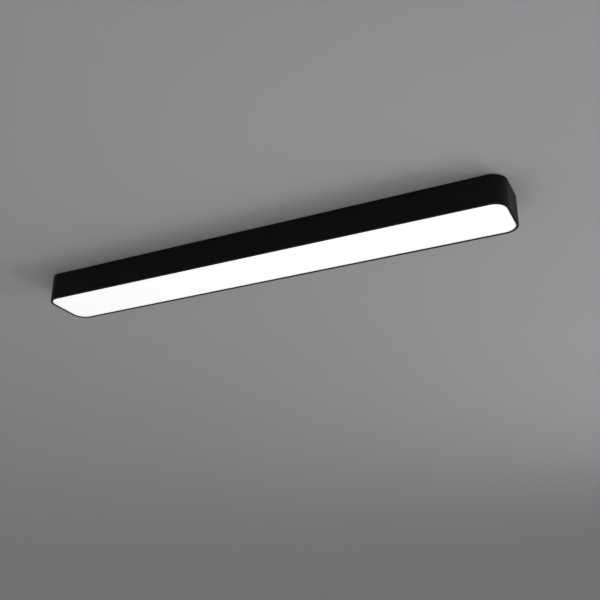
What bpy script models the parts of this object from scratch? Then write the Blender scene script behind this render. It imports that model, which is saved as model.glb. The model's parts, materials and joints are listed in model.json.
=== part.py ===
"""Linear LED ceiling light: a black housing ring with round corners and an opal diffuser, pushed up
over a steel ceiling plate that carries the LED strips, the driver and the terminal block.

Metres, +Z up. The origin is the middle of the ceiling plate's top face, so everything hangs below it.
+X runs along the light. The mains side is at -X and the LED feed side is near the middle.
"""

import math

import bmesh
import bpy
from mathutils import Matrix, Vector

# ---------------------------------------------------------------- driving sizes
HOUSING_LENGTH = 1.200
HOUSING_WIDTH = 0.145
HOUSING_DEPTH = 0.070  # from the ceiling to the lowest rim
HOUSING_CORNER = 0.036  # outer radius of the four upright corners
HOUSING_WALL = 0.0012
LIP_REACH = 0.0060  # from the outer face to the inner edge of the rim
LIP_THICKNESS = 0.0012
CEILING_GAP = 0.0010  # shadow gap between the housing and the ceiling

TOUCH = 0.0003  # gap kept between two pieces that rest on each other
CORNER_STEPS = 10
ROUND_STEPS = 12

# Diffuser and what holds it down
DIFFUSER_THICKNESS = 0.0025
DIFFUSER_PLAY = 0.0006
GASKET_WIDTH = 0.0030
GASKET_THICKNESS = 0.0010
BRACKET_SHEET = 0.0012
BRACKET_LENGTH = 0.024
BRACKET_FOOT = 0.0050
BRACKET_TAB = 0.0105
SIDE_BRACKET_SHARE = 0.43  # spacing of a side's two brackets, as a share of the length

# Ceiling plate: a shallow steel tray, open downwards
PLATE_INSET = 0.0070  # from the housing's inner face to the plate's flange
PLATE_SHEET = 0.0010
FLANGE_DEPTH = 0.018
KEYHOLE_FROM_END = 0.060  # from the plate's end to the keyhole's head
KEYHOLE_HEAD = 0.0090
KEYHOLE_SLOT = 0.0046
KEYHOLE_TRAVEL = 0.0100

# Spring clips, pushed on the flange's lower edge
CLIP_SHEET = 0.0005
CLIP_WIDTH = 0.016
CLIP_SHARE = 0.67  # spacing of a side's two clips, as a share of the length
CLIP_INNER_LEG = 0.009
CLIP_NOSE_DROP = 0.0100  # from the ceiling down to the nose
CLIP_TIP_DROP = 0.0055

# LED strips: two rows of two boards
STRIP_FROM_END = 0.022  # from the plate's end to the board's end
STRIP_WIDTH = 0.018
STRIP_THICKNESS = 0.0012
STRIP_GAP = 0.020  # between the two boards of a row
ROW_OFFSET = 0.038  # from the middle to each row
LED_SPACING = 0.0233  # wanted, and rounded to a whole number of chips
LED_LENGTH = 0.0035
LED_WIDTH = 0.0028
LED_HEIGHT = 0.0008
STRIP_SCREW_SHARE = 0.375  # from a board's middle to its screw, as a share of the board

# Screws, all of one kind
SCREW_SHANK = 0.0030
SCREW_HEAD = 0.0060
SCREW_HEAD_HEIGHT = 0.0020
SCREW_PLAY = 0.0006  # hole over shank
SCREW_TIP_COVER = 0.0002  # how far a tip stays below the ceiling face

# Connectors on the strips' inner ends
CONNECTOR_LENGTH = 0.0060
CONNECTOR_WIDTH = 0.0090
CONNECTOR_HEIGHT = 0.0042
CONNECTOR_INSET = 0.0050  # from the board's end to the connector's middle
POLE_PITCH = 0.0036

# Driver
DRIVER_LENGTH = 0.200
DRIVER_WIDTH = 0.042
DRIVER_TUB_HEIGHT = 0.0235
DRIVER_WALL = 0.0016
DRIVER_LID = 0.0020
DRIVER_LID_LIP = 0.0015
DRIVER_END = -0.060  # where the output end stands
DRIVER_EAR_LENGTH = 0.014
DRIVER_EAR_WIDTH = 0.018
DRIVER_EAR_THICKNESS = 0.0022
DRIVER_PORT_DROP = 0.0140  # from the ceiling down to the lead holes
BOARD_DROP = 0.0050  # from the ceiling down to the driver's circuit board
BOARD_THICKNESS = 0.0016
BOARD_PLAY = 0.0010
TRANSFORMER_LENGTH = 0.026
TRANSFORMER_WIDTH = 0.024
TRANSFORMER_HEIGHT = 0.0150
CAPACITOR_DIAMETER = 0.0125
CAPACITOR_HEIGHT = 0.0160
POST_DIAMETER = 0.0040  # posts in the tub that space the board off

# Colour selector, a slide switch in the driver's lid
SELECTOR_WIDTH = 0.0040
SELECTOR_LENGTH = 0.0044
SELECTOR_HEIGHT = 0.0020
SELECTOR_TRAVEL = 0.0025  # to each side of the middle setting
SELECTOR_POCKET_DEPTH = 0.0012
SELECTOR_AT = 0.020  # from the driver's output end

# Terminal block
TERMINAL_LENGTH = 0.028
TERMINAL_WIDTH = 0.027
TERMINAL_HEIGHT = 0.017
TERMINAL_TO_DRIVER = 0.034  # free space for the mains leads
TERMINAL_POLE_PITCH = 0.008
TERMINAL_PORT = 0.0034
TERMINAL_PORT_DEPTH = 0.009
TERMINAL_PORT_DROP = 0.0080
BUTTON_SIZE = 0.0052
BUTTON_PROUD = 0.0020
BUTTON_SEAT = 0.0022
BUTTON_TRAVEL = 0.0015
BUTTON_FROM_MOUTH = 0.0070
PEG_DIAMETER = 0.0040
PEG_SPACING = 0.018

# Cable clamp, grommet and earth point
CLAMP_TO_TERMINAL = 0.024
CLAMP_LENGTH = 0.010
CLAMP_SHEET = 0.0015
CLAMP_ARCH_WIDTH = 0.0120
CLAMP_ARCH_RISE = 0.0075
CLAMP_FOOT = 0.0085
GROMMET_TO_CLAMP = 0.040
GROMMET_BORE = 0.0100
GROMMET_NECK = 0.0180
GROMMET_FLANGE = 0.0230
GROMMET_FLANGE_HEIGHT = 0.0024
EARTH_LUG_THICKNESS = 0.0008
EARTH_LUG_DIAMETER = 0.0085
EARTH_LUG_TAIL = 0.0090
EARTH_CLEARANCE = 0.00175  # between the lug's eye and the LED board

# Leads
MAINS_LEAD = 0.0024
LED_LEAD = 0.0016
LEAD_PLAY = 0.0006  # hole over lead
LEAD_GRIP = 0.0035  # how far a lead reaches into its hole

# ---------------------------------------------------------------- levels and places worked out
RIM_Z = -HOUSING_DEPTH
LIP_TOP_Z = RIM_Z + LIP_THICKNESS
DIFFUSER_LOW_Z = LIP_TOP_Z + TOUCH
DIFFUSER_TOP_Z = DIFFUSER_LOW_Z + DIFFUSER_THICKNESS
GASKET_LOW_Z = DIFFUSER_TOP_Z + TOUCH
GASKET_TOP_Z = GASKET_LOW_Z + GASKET_THICKNESS
INNER_LENGTH = HOUSING_LENGTH - 2 * HOUSING_WALL
INNER_WIDTH = HOUSING_WIDTH - 2 * HOUSING_WALL
INNER_CORNER = HOUSING_CORNER - HOUSING_WALL
PLATE_LENGTH = INNER_LENGTH - 2 * PLATE_INSET
PLATE_WIDTH = INNER_WIDTH - 2 * PLATE_INSET
PLATE_CORNER = INNER_CORNER - PLATE_INSET
FLANGE_Z = -FLANGE_DEPTH
SEAT_Z = -PLATE_SHEET - TOUCH  # the highest point of what sits on the plate's underside
STRIP_LOW_Z = SEAT_Z - STRIP_THICKNESS
STRIP_LENGTH = PLATE_LENGTH / 2 - STRIP_FROM_END - STRIP_GAP / 2
LED_COUNT = 2 * round(STRIP_LENGTH / (2 * LED_SPACING))  # even, so that a screw fits between two
LED_PITCH = STRIP_LENGTH / LED_COUNT
STRIP_MIDDLE = (STRIP_LENGTH + STRIP_GAP) / 2
STRIP_INNER_END = STRIP_GAP / 2
STRIP_SCREW_AT = round(STRIP_SCREW_SHARE * LED_COUNT) * LED_PITCH
KEYHOLE_X = PLATE_LENGTH / 2 - KEYHOLE_FROM_END
CONNECTOR_X = STRIP_INNER_END + CONNECTOR_INSET
CONNECTOR_TOP_Z = STRIP_LOW_Z - TOUCH
CONNECTOR_Z = CONNECTOR_TOP_Z - CONNECTOR_HEIGHT / 2
DRIVER_X = DRIVER_END - DRIVER_LENGTH / 2
DRIVER_MAINS_END = DRIVER_END - DRIVER_LENGTH
DRIVER_TUB_Z = SEAT_Z - DRIVER_TUB_HEIGHT
DRIVER_LOW_Z = DRIVER_TUB_Z - TOUCH - DRIVER_LID
TERMINAL_X = DRIVER_MAINS_END - TERMINAL_TO_DRIVER - TERMINAL_LENGTH / 2
TERMINAL_LOW_Z = SEAT_Z - TERMINAL_HEIGHT
TERMINAL_MOUTH = TERMINAL_X - TERMINAL_LENGTH / 2
BUTTON_X = TERMINAL_MOUTH + BUTTON_FROM_MOUTH
CLAMP_X = TERMINAL_MOUTH - CLAMP_TO_TERMINAL
GROMMET_X = CLAMP_X - GROMMET_TO_CLAMP
EARTH_X = TERMINAL_X
EARTH_Y = -(ROW_OFFSET - STRIP_WIDTH / 2 - EARTH_LUG_DIAMETER / 2 - EARTH_CLEARANCE)
POLES = {"earth": -TERMINAL_POLE_PITCH, "neutral": 0.0, "live": TERMINAL_POLE_PITCH}
ROWS = {"front": -ROW_OFFSET, "rear": ROW_OFFSET}
SIDES = {"left": -1, "right": 1}

# ---------------------------------------------------------------- scene and finishes
PARTS = "led_ceiling_light"
CUTTERS = "cutters"
FINISHES = {
    "black_powder_coat": ((0.012, 0.012, 0.013), 0.55, 0.0),
    "opal_acrylic": ((0.95, 0.95, 0.95), 0.35, 0.0),
    "grey_foam": ((0.30, 0.30, 0.30), 0.95, 0.0),
    "white_enamel": ((0.86, 0.86, 0.85), 0.45, 0.0),
    "zinc_steel": ((0.62, 0.62, 0.60), 0.35, 1.0),
    "spring_steel": ((0.50, 0.50, 0.50), 0.28, 1.0),
    "white_circuit_board": ((0.88, 0.88, 0.86), 0.50, 0.0),
    "green_circuit_board": ((0.05, 0.24, 0.10), 0.50, 0.0),
    "white_plastic": ((0.85, 0.85, 0.83), 0.45, 0.0),
    "grey_plastic": ((0.45, 0.46, 0.47), 0.50, 0.0),
    "orange_plastic": ((0.85, 0.28, 0.04), 0.45, 0.0),
    "black_rubber": ((0.03, 0.03, 0.03), 0.80, 0.0),
    "copper_and_ferrite": ((0.42, 0.20, 0.08), 0.50, 0.0),
    "capacitor_sleeve": ((0.03, 0.05, 0.16), 0.40, 0.0),
    "tinned_copper": ((0.75, 0.74, 0.70), 0.30, 1.0),
    "brown_lead": ((0.20, 0.08, 0.03), 0.50, 0.0),
    "blue_lead": ((0.03, 0.10, 0.45), 0.50, 0.0),
    "green_lead": ((0.10, 0.45, 0.08), 0.50, 0.0),
    "red_lead": ((0.60, 0.03, 0.02), 0.50, 0.0),
    "black_lead": ((0.02, 0.02, 0.02), 0.50, 0.0),
}


def clear_scene():
    for thing in list(bpy.data.objects):
        bpy.data.objects.remove(thing, do_unlink=True)


def make_collection(name):
    made = bpy.data.collections.new(name)
    bpy.context.scene.collection.children.link(made)
    return made


def finish(name):
    """The material of that name, made the first time that it is asked for."""
    known = bpy.data.materials.get(name)
    if known:
        return known
    colour, roughness, metallic = FINISHES[name]
    made = bpy.data.materials.new(name)
    made.use_nodes = True
    shader = made.node_tree.nodes["Principled BSDF"]
    shader.inputs["Base Color"].default_value = (*colour, 1.0)
    shader.inputs["Roughness"].default_value = roughness
    shader.inputs["Metallic"].default_value = metallic
    return made


def make_body(name, at=(0.0, 0.0, 0.0)):
    """An empty that the pieces of one moving body are parented to."""
    body = bpy.data.objects.new(name, None)
    body.location = at
    bpy.data.collections[PARTS].objects.link(body)
    return body


def make_part(name, data, finish_name, body, at=(0.0, 0.0, 0.0), turn=0.0):
    """One piece: its mesh or curve, placed in its body's space and turned about the vertical."""
    data.materials.append(finish(finish_name))
    piece = bpy.data.objects.new(name, data)
    piece.parent = body
    piece.location = Vector(at) - body.location
    piece.rotation_euler = (0.0, 0.0, turn)
    bpy.data.collections[PARTS].objects.link(piece)
    return piece


def mesh_from(name, shape, smooth=False):
    mesh = bpy.data.meshes.new(name)
    shape.to_mesh(mesh)
    shape.free()
    if smooth:
        mesh.shade_smooth()
        mesh.set_sharp_from_angle(angle=math.radians(35))
    return mesh


def boolean(piece, name, shape, operation="DIFFERENCE"):
    """Cuts the shape from the piece, or joins it on. The shape is in the piece's own space."""
    tool = bpy.data.objects.new(name, mesh_from(name, shape))
    tool.hide_render = True
    tool.display_type = "WIRE"
    tool.parent = piece
    bpy.data.collections[CUTTERS].objects.link(tool)
    modifier = piece.modifiers.new(name, "BOOLEAN")
    modifier.operation = operation
    modifier.solver = "EXACT"
    modifier.object = tool


# ---------------------------------------------------------------- basic shapes
def add_box(shape, low, high):
    low, high = Vector(low), Vector(high)
    size = Matrix.Diagonal((*(high - low), 1.0))
    corners = bmesh.ops.create_cube(shape, size=1.0, matrix=Matrix.Translation((low + high) / 2) @ size)
    return corners["verts"]


def add_slab(shape, length, width, corner, low, high):
    """A flat block centred on the Z axis, with its four upright edges rounded."""
    corners = add_box(shape, (-length / 2, -width / 2, low), (length / 2, width / 2, high))
    edges = {edge for vert in corners for edge in vert.link_edges}
    upright = [edge for edge in edges if abs(edge.verts[0].co.z - edge.verts[1].co.z) > (high - low) / 2]
    bmesh.ops.bevel(
        shape, geom=upright, offset=corner, segments=CORNER_STEPS, profile=0.5, affect="EDGES"
    )


def add_rod(shape, start, end, diameter, steps=ROUND_STEPS):
    start, end = Vector(start), Vector(end)
    along = end - start
    turned = along.to_track_quat("Z", "Y").to_matrix().to_4x4()
    bmesh.ops.create_cone(
        shape,
        cap_ends=True,
        segments=steps,
        radius1=diameter / 2,
        radius2=diameter / 2,
        depth=along.length,
        matrix=Matrix.Translation((start + end) / 2) @ turned,
    )


def box_mesh(name, low, high):
    shape = bmesh.new()
    add_box(shape, low, high)
    return mesh_from(name, shape)


def turned_mesh(name, profile, closed=False):
    """The points (radius, height) as a mesh for a Screw modifier, down the outer side."""
    mesh = bpy.data.meshes.new(name)
    edges = [(i, i + 1) for i in range(len(profile) - 1)]
    if closed:
        edges.append((len(profile) - 1, 0))
    mesh.from_pydata([(radius, 0.0, height) for radius, height in profile], edges, [])
    return mesh


def add_screw_modifier(piece, steps=ROUND_STEPS):
    spin = piece.modifiers.new("turned", "SCREW")
    spin.steps = steps
    spin.render_steps = steps
    spin.use_merge_vertices = True
    spin.merge_threshold = 0.00001


def strip_mesh(name, profile, width):
    """An open strip: the points (y, z) drawn along X over the width. Solidify gives it its sheet."""
    shape = bmesh.new()
    rows = [[shape.verts.new((x, y, z)) for y, z in profile] for x in (-width / 2, width / 2)]
    for i in range(len(profile) - 1):
        shape.faces.new((rows[0][i], rows[1][i], rows[1][i + 1], rows[0][i + 1]))
    return mesh_from(name, shape)


def add_sheet_modifier(piece, thickness):
    sheet = piece.modifiers.new("sheet", "SOLIDIFY")
    sheet.thickness = thickness
    sheet.offset = 0.0
    sheet.use_even_offset = True


# ---------------------------------------------------------------- housing
def build_housing(body):
    ring = bmesh.new()
    add_slab(ring, HOUSING_LENGTH, HOUSING_WIDTH, HOUSING_CORNER, RIM_Z, -CEILING_GAP)
    piece = make_part("housing_ring", mesh_from("housing_ring", ring), "black_powder_coat", body)

    cavity = bmesh.new()
    add_slab(cavity, INNER_LENGTH, INNER_WIDTH, INNER_CORNER, LIP_TOP_Z, CEILING_GAP)
    boolean(piece, "housing_cavity", cavity)

    window = bmesh.new()
    add_slab(
        window,
        HOUSING_LENGTH - 2 * LIP_REACH,
        HOUSING_WIDTH - 2 * LIP_REACH,
        HOUSING_CORNER - LIP_REACH,
        RIM_Z - LIP_THICKNESS,
        DIFFUSER_TOP_Z,
    )
    boolean(piece, "housing_window", window)


def diffuser_outline(inset=0.0):
    """Length, width and corner of the diffuser's outline, or of a line drawn inside it."""
    play = DIFFUSER_PLAY + inset
    return INNER_LENGTH - 2 * play, INNER_WIDTH - 2 * play, INNER_CORNER - play


def build_diffuser(body):
    pane = bmesh.new()
    add_slab(pane, *diffuser_outline(), DIFFUSER_LOW_Z, DIFFUSER_TOP_Z)
    make_part("diffuser", mesh_from("diffuser", pane), "opal_acrylic", body)

    foam = bmesh.new()
    add_slab(foam, *diffuser_outline(), GASKET_LOW_Z, GASKET_TOP_Z)
    piece = make_part("diffuser_gasket", mesh_from("diffuser_gasket", foam), "grey_foam", body)
    middle = bmesh.new()
    add_slab(
        middle,
        *diffuser_outline(GASKET_WIDTH),
        GASKET_LOW_Z - GASKET_THICKNESS,
        GASKET_TOP_Z + GASKET_THICKNESS,
    )
    boolean(piece, "gasket_middle", middle)


def build_brackets(body):
    """Brackets on the inner walls: the foot holds the gasket down, the tab stops on the flange."""
    half = BRACKET_SHEET / 2
    foot_z = GASKET_TOP_Z + TOUCH + half
    tab_z = FLANGE_Z - TOUCH - half
    web = -TOUCH - half  # from the wall's inner face
    profile = [
        (web - BRACKET_FOOT, foot_z),
        (web, foot_z),
        (web, tab_z),
        (web - BRACKET_TAB, tab_z),
    ]
    mesh = strip_mesh("bracket", profile, BRACKET_LENGTH)
    places = {
        "end_bracket_left": ((-INNER_LENGTH / 2, 0.0, 0.0), math.pi / 2),
        "end_bracket_right": ((INNER_LENGTH / 2, 0.0, 0.0), -math.pi / 2),
    }
    for side, sign in SIDES.items():
        x = sign * SIDE_BRACKET_SHARE * HOUSING_LENGTH / 2
        places[f"rear_bracket_{side}"] = ((x, INNER_WIDTH / 2, 0.0), 0.0)
        places[f"front_bracket_{side}"] = ((x, -INNER_WIDTH / 2, 0.0), math.pi)
    for name, (at, turn) in places.items():
        piece = make_part(name, mesh.copy(), "zinc_steel", body, at, turn)
        add_sheet_modifier(piece, BRACKET_SHEET)


# ---------------------------------------------------------------- ceiling plate
def screw_places():
    """Every screw by name: where it is, and the height of the face that its head pulls on."""
    places = {}
    for row, y in ROWS.items():
        for side, sign in SIDES.items():
            for end, step in (("inner", -1), ("outer", 1)):
                x = sign * (STRIP_MIDDLE + step * STRIP_SCREW_AT)
                places[f"strip_screw_{row}_{side}_{end}"] = (x, y, STRIP_LOW_Z)
    ear_low = SEAT_Z - DRIVER_EAR_THICKNESS
    ear_reach = (DRIVER_LENGTH + DRIVER_EAR_LENGTH) / 2
    for side, sign in SIDES.items():
        places[f"driver_screw_{side}"] = (DRIVER_X + sign * ear_reach, 0.0, ear_low)
    clamp_reach = (CLAMP_ARCH_WIDTH + CLAMP_FOOT) / 2
    for row, sign in (("front", -1), ("rear", 1)):
        places[f"clamp_screw_{row}"] = (CLAMP_X, sign * clamp_reach, SEAT_Z - CLAMP_SHEET)
    places["earth_screw"] = (EARTH_X, EARTH_Y, SEAT_Z - EARTH_LUG_THICKNESS)
    return places


def build_plate(body):
    tray = bmesh.new()
    add_slab(tray, PLATE_LENGTH, PLATE_WIDTH, PLATE_CORNER, FLANGE_Z, 0.0)
    piece = make_part("ceiling_plate", mesh_from("ceiling_plate", tray), "white_enamel", body)

    hollow = bmesh.new()
    add_slab(
        hollow,
        PLATE_LENGTH - 2 * PLATE_SHEET,
        PLATE_WIDTH - 2 * PLATE_SHEET,
        PLATE_CORNER - PLATE_SHEET,
        FLANGE_Z - PLATE_SHEET,
        -PLATE_SHEET,
    )
    boolean(piece, "plate_hollow", hollow)

    above, below = PLATE_SHEET, -2 * PLATE_SHEET
    holes = bmesh.new()
    for x, y, _ in screw_places().values():
        add_rod(holes, (x, y, below), (x, y, above), SCREW_SHANK + SCREW_PLAY)
    for sign in (-1, 1):
        y = sign * PEG_SPACING / 2
        add_rod(holes, (TERMINAL_X, y, below), (TERMINAL_X, y, above), PEG_DIAMETER + SCREW_PLAY)
    neck = GROMMET_NECK + 2 * TOUCH
    add_rod(holes, (GROMMET_X, 0.0, below), (GROMMET_X, 0.0, above), neck, 2 * ROUND_STEPS)
    boolean(piece, "plate_holes", holes)

    heads = bmesh.new()
    slots = bmesh.new()
    for sign in (-1, 1):
        x = sign * KEYHOLE_X
        add_rod(heads, (x, 0.0, below), (x, 0.0, above), KEYHOLE_HEAD, 2 * ROUND_STEPS)
        end = x + KEYHOLE_TRAVEL
        add_box(slots, (x, -KEYHOLE_SLOT / 2, below), (end, KEYHOLE_SLOT / 2, above))
    boolean(piece, "keyhole_heads", heads)
    boolean(piece, "keyhole_slots", slots)


def build_clips(body):
    """Spring clips: a U over the flange's lower edge, and a leaf that bows out to the housing."""
    half = CLIP_SHEET / 2
    inner = -PLATE_SHEET - TOUCH - half  # from the flange's outer face
    outer = TOUCH + half
    nose = PLATE_INSET - TOUCH - half
    bottom = FLANGE_Z - TOUCH - half
    profile = [
        (inner, bottom + CLIP_INNER_LEG),
        (inner, bottom),
        (outer, bottom),
        (outer, bottom + 0.15 * FLANGE_DEPTH),
        (outer + 0.8 * (nose - outer), -CLIP_NOSE_DROP - 0.1 * FLANGE_DEPTH),
        (nose, -CLIP_NOSE_DROP),
        (outer + 0.8 * (nose - outer), -CLIP_NOSE_DROP + 0.1 * FLANGE_DEPTH),
        (outer + 0.35 * (nose - outer), -CLIP_TIP_DROP),
    ]
    mesh = strip_mesh("spring_clip", profile, CLIP_WIDTH)
    for side, sign in SIDES.items():
        x = sign * CLIP_SHARE * HOUSING_LENGTH / 2
        for row, y, turn in (("rear", PLATE_WIDTH / 2, 0.0), ("front", -PLATE_WIDTH / 2, math.pi)):
            name = f"spring_clip_{row}_{side}"
            piece = make_part(name, mesh.copy(), "spring_steel", body, (x, y, 0.0), turn)
            add_sheet_modifier(piece, CLIP_SHEET)


def build_screws(body):
    """Pan-head screws from the room side, each as long as its seat needs."""
    for name, (x, y, face) in screw_places().items():
        seat = face - TOUCH
        low = -SCREW_HEAD_HEIGHT
        profile = [
            (0.0, -seat - SCREW_TIP_COVER),
            (SCREW_SHANK / 2, -seat - SCREW_TIP_COVER),
            (SCREW_SHANK / 2, 0.0),
            (SCREW_HEAD / 2, 0.0),
            (SCREW_HEAD / 2, 0.5 * low),
            (0.32 * SCREW_HEAD, low),
            (0.0, low),
        ]
        piece = make_part(name, turned_mesh(name, profile), "zinc_steel", body, (x, y, seat))
        add_screw_modifier(piece)


# ---------------------------------------------------------------- LED strips
def build_strips(body):
    for row, y in ROWS.items():
        for side, sign in SIDES.items():
            at = (sign * STRIP_MIDDLE, y, 0.0)
            half_length, half_width = STRIP_LENGTH / 2, STRIP_WIDTH / 2
            name = f"led_strip_{row}_{side}"
            low = (-half_length, -half_width, STRIP_LOW_Z)
            board = box_mesh(name, low, (half_length, half_width, SEAT_Z))
            piece = make_part(name, board, "white_circuit_board", body, at)

            leds = bmesh.new()
            for i in range(LED_COUNT):
                x = (i + 0.5) * LED_PITCH - half_length
                add_box(
                    leds,
                    (x - LED_LENGTH / 2, -LED_WIDTH / 2, STRIP_LOW_Z - LED_HEIGHT),
                    (x + LED_LENGTH / 2, LED_WIDTH / 2, STRIP_LOW_Z + STRIP_THICKNESS / 2),
                )
            boolean(piece, f"{name}_leds", leds, "UNION")

            holes = bmesh.new()
            for x in (-STRIP_SCREW_AT, STRIP_SCREW_AT):
                low_end, high_end = (x, 0.0, STRIP_LOW_Z - LED_HEIGHT), (x, 0.0, 0.0)
                add_rod(holes, low_end, high_end, SCREW_SHANK + SCREW_PLAY)
            boolean(piece, f"{name}_holes", holes)
            build_connector(body, row, side, sign)


def build_connector(body, row, side, sign):
    """A two-pole connector. Jumper leads enter from the middle, feed leads from the driver's side."""
    half = Vector((CONNECTOR_LENGTH, CONNECTOR_WIDTH, CONNECTOR_HEIGHT)) / 2
    name = f"strip_connector_{row}_{side}"
    at = (sign * CONNECTOR_X, ROWS[row], CONNECTOR_Z)
    piece = make_part(name, box_mesh(name, -half, half), "white_plastic", body, at)
    sockets = bmesh.new()
    socket = LED_LEAD + LEAD_PLAY
    inward = math.copysign(1.0, -ROWS[row])
    for pole in (-0.5, 0.5):
        y = pole * POLE_PITCH
        mouth = -sign * (half.x + TOUCH)
        bottom = -sign * (half.x - LEAD_GRIP + LED_LEAD)
        add_rod(sockets, (mouth, y, 0.0), (bottom, y, 0.0), socket, 8)
    boolean(piece, f"{name}_jumper_sockets", sockets)
    if side == "left":
        feeds = bmesh.new()
        for pole in (-0.5, 0.5):
            x = pole * 0.8 * POLE_PITCH - 0.3 * LED_LEAD
            start = (x, inward * (half.y + TOUCH), 0.0)
            add_rod(feeds, start, (x, inward * (half.y - LED_LEAD), 0.0), socket, 8)
        boolean(piece, f"{name}_feed_sockets", feeds)


# ---------------------------------------------------------------- driver
def lead_hole_places():
    """Where the leads pass the driver's ends: two on the mains side, four on the LED side."""
    mains = [POLES["neutral"] - 0.5 * TERMINAL_POLE_PITCH, POLES["live"] - 0.5 * TERMINAL_POLE_PITCH]
    led = [(i - 1.5) * 1.5 * POLE_PITCH for i in range(4)]
    return mains, led


def build_driver_tub(body):
    half_length, half_width = DRIVER_LENGTH / 2, DRIVER_WIDTH / 2
    low, high = (-half_length, -half_width, DRIVER_TUB_Z), (half_length, half_width, SEAT_Z)
    block = box_mesh("driver_tub", low, high)
    tub = make_part("driver_tub", block, "white_plastic", body, (DRIVER_X, 0.0, 0.0))

    hollow = bmesh.new()
    wall = DRIVER_WALL
    add_box(
        hollow,
        (wall - half_length, wall - half_width, DRIVER_TUB_Z - wall),
        (half_length - wall, half_width - wall, SEAT_Z - wall),
    )
    boolean(tub, "driver_hollow", hollow)

    posts = bmesh.new()
    for x_sign in (-1, 1):
        for y_sign in (-1, 1):
            x = x_sign * (half_length - 2 * POST_DIAMETER)
            y = y_sign * (half_width - 2 * POST_DIAMETER)
            add_rod(posts, (x, y, TOUCH - BOARD_DROP), (x, y, SEAT_Z - wall / 2), POST_DIAMETER)
    boolean(tub, "driver_posts", posts, "UNION")

    ears = bmesh.new()
    ear_holes = bmesh.new()
    for sign in (-1, 1):
        ends = sorted((sign * (half_length - wall / 2), sign * (half_length + DRIVER_EAR_LENGTH)))
        low = (ends[0], -DRIVER_EAR_WIDTH / 2, SEAT_Z - DRIVER_EAR_THICKNESS)
        add_box(ears, low, (ends[1], DRIVER_EAR_WIDTH / 2, SEAT_Z))
        x = sign * (DRIVER_LENGTH + DRIVER_EAR_LENGTH) / 2
        below = (x, 0.0, 2 * SEAT_Z - DRIVER_EAR_THICKNESS)
        add_rod(ear_holes, below, (x, 0.0, 0.0), SCREW_SHANK + SCREW_PLAY)
    boolean(tub, "driver_ears", ears, "UNION")
    boolean(tub, "driver_ear_holes", ear_holes)

    ports = bmesh.new()
    mains, led = lead_hole_places()
    for sign, places, lead in ((-1, mains, MAINS_LEAD), (1, led, LED_LEAD)):
        for y in places:
            inner = (sign * (half_length - 2 * wall), y, -DRIVER_PORT_DROP)
            outer = (sign * (half_length + wall), y, -DRIVER_PORT_DROP)
            add_rod(ports, inner, outer, lead + LEAD_PLAY, 8)
    boolean(tub, "driver_ports", ports)


def build_driver_lid(body):
    half_length, half_width = DRIVER_LENGTH / 2, DRIVER_WIDTH / 2
    low = (-half_length, -half_width, DRIVER_LOW_Z)
    slab = box_mesh("driver_lid", low, (half_length, half_width, DRIVER_LOW_Z + DRIVER_LID))
    lid = make_part("driver_lid", slab, "white_plastic", body, (DRIVER_X, 0.0, 0.0))
    lip = bmesh.new()
    inset = DRIVER_WALL + TOUCH
    add_box(
        lip,
        (inset - half_length, inset - half_width, DRIVER_LOW_Z + DRIVER_LID / 2),
        (half_length - inset, half_width - inset, DRIVER_LOW_Z + DRIVER_LID + DRIVER_LID_LIP),
    )
    boolean(lid, "driver_lid_lip", lip, "UNION")
    pocket = bmesh.new()
    reach = SELECTOR_WIDTH / 2 + SELECTOR_TRAVEL + TOUCH
    x = half_length - SELECTOR_AT
    side = SELECTOR_LENGTH / 2 + TOUCH
    add_box(
        pocket,
        (x - reach, -side, DRIVER_LOW_Z - SELECTOR_HEIGHT),
        (x + reach, side, DRIVER_LOW_Z + SELECTOR_POCKET_DEPTH),
    )
    boolean(lid, "selector_pocket", pocket)


def build_driver_electronics(body):
    half_length = DRIVER_LENGTH / 2 - DRIVER_WALL - BOARD_PLAY
    half_width = DRIVER_WIDTH / 2 - DRIVER_WALL - BOARD_PLAY
    at = (DRIVER_X, 0.0, -BOARD_DROP)
    low = (-half_length, -half_width, -BOARD_THICKNESS)
    board = box_mesh("driver_board", low, (half_length, half_width, 0.0))
    make_part("driver_board", board, "green_circuit_board", body, at)

    below = -BOARD_DROP - BOARD_THICKNESS - TOUCH
    half = Vector((TRANSFORMER_LENGTH, TRANSFORMER_WIDTH, TRANSFORMER_HEIGHT)) / 2
    core = bmesh.new()
    add_box(core, -half, half)
    place = (DRIVER_X, 0.0, below - half.z)
    core_mesh = mesh_from("driver_transformer", core)
    piece = make_part("driver_transformer", core_mesh, "copper_and_ferrite", body, place)
    waist = bmesh.new()
    for sign in (-1, 1):
        notch = sorted((sign * 0.62 * half.y, sign * 2 * half.y))
        low = (-0.55 * half.x, notch[0], -0.7 * half.z)
        add_box(waist, low, (0.55 * half.x, notch[1], 0.7 * half.z))
    boolean(piece, "transformer_waist", waist)

    radius = CAPACITOR_DIAMETER / 2
    profile = [
        (0.0, 0.0),
        (radius, 0.0),
        (radius, -0.95 * CAPACITOR_HEIGHT),
        (0.9 * radius, -CAPACITOR_HEIGHT),
        (0.0, -CAPACITOR_HEIGHT),
    ]
    place = (DRIVER_X - 1.6 * TRANSFORMER_LENGTH, 0.0, below)
    can = turned_mesh("driver_capacitor", profile)
    piece = make_part("driver_capacitor", can, "capacitor_sleeve", body, place)
    add_screw_modifier(piece)


def build_selector(body):
    half = Vector((SELECTOR_WIDTH, SELECTOR_LENGTH, SELECTOR_HEIGHT)) / 2
    knob = box_mesh("selector_knob", -half, half)
    piece = make_part("selector_knob", knob, "grey_plastic", body, body.location)
    grip = bmesh.new()
    add_box(grip, (-0.2 * half.x, -2 * half.y, -2 * half.z), (0.2 * half.x, 2 * half.y, -0.7 * half.z))
    boolean(piece, "selector_grip", grip)


def selector_place():
    z = DRIVER_LOW_Z + SELECTOR_POCKET_DEPTH - TOUCH - SELECTOR_HEIGHT / 2
    return DRIVER_END - SELECTOR_AT, 0.0, z


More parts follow.
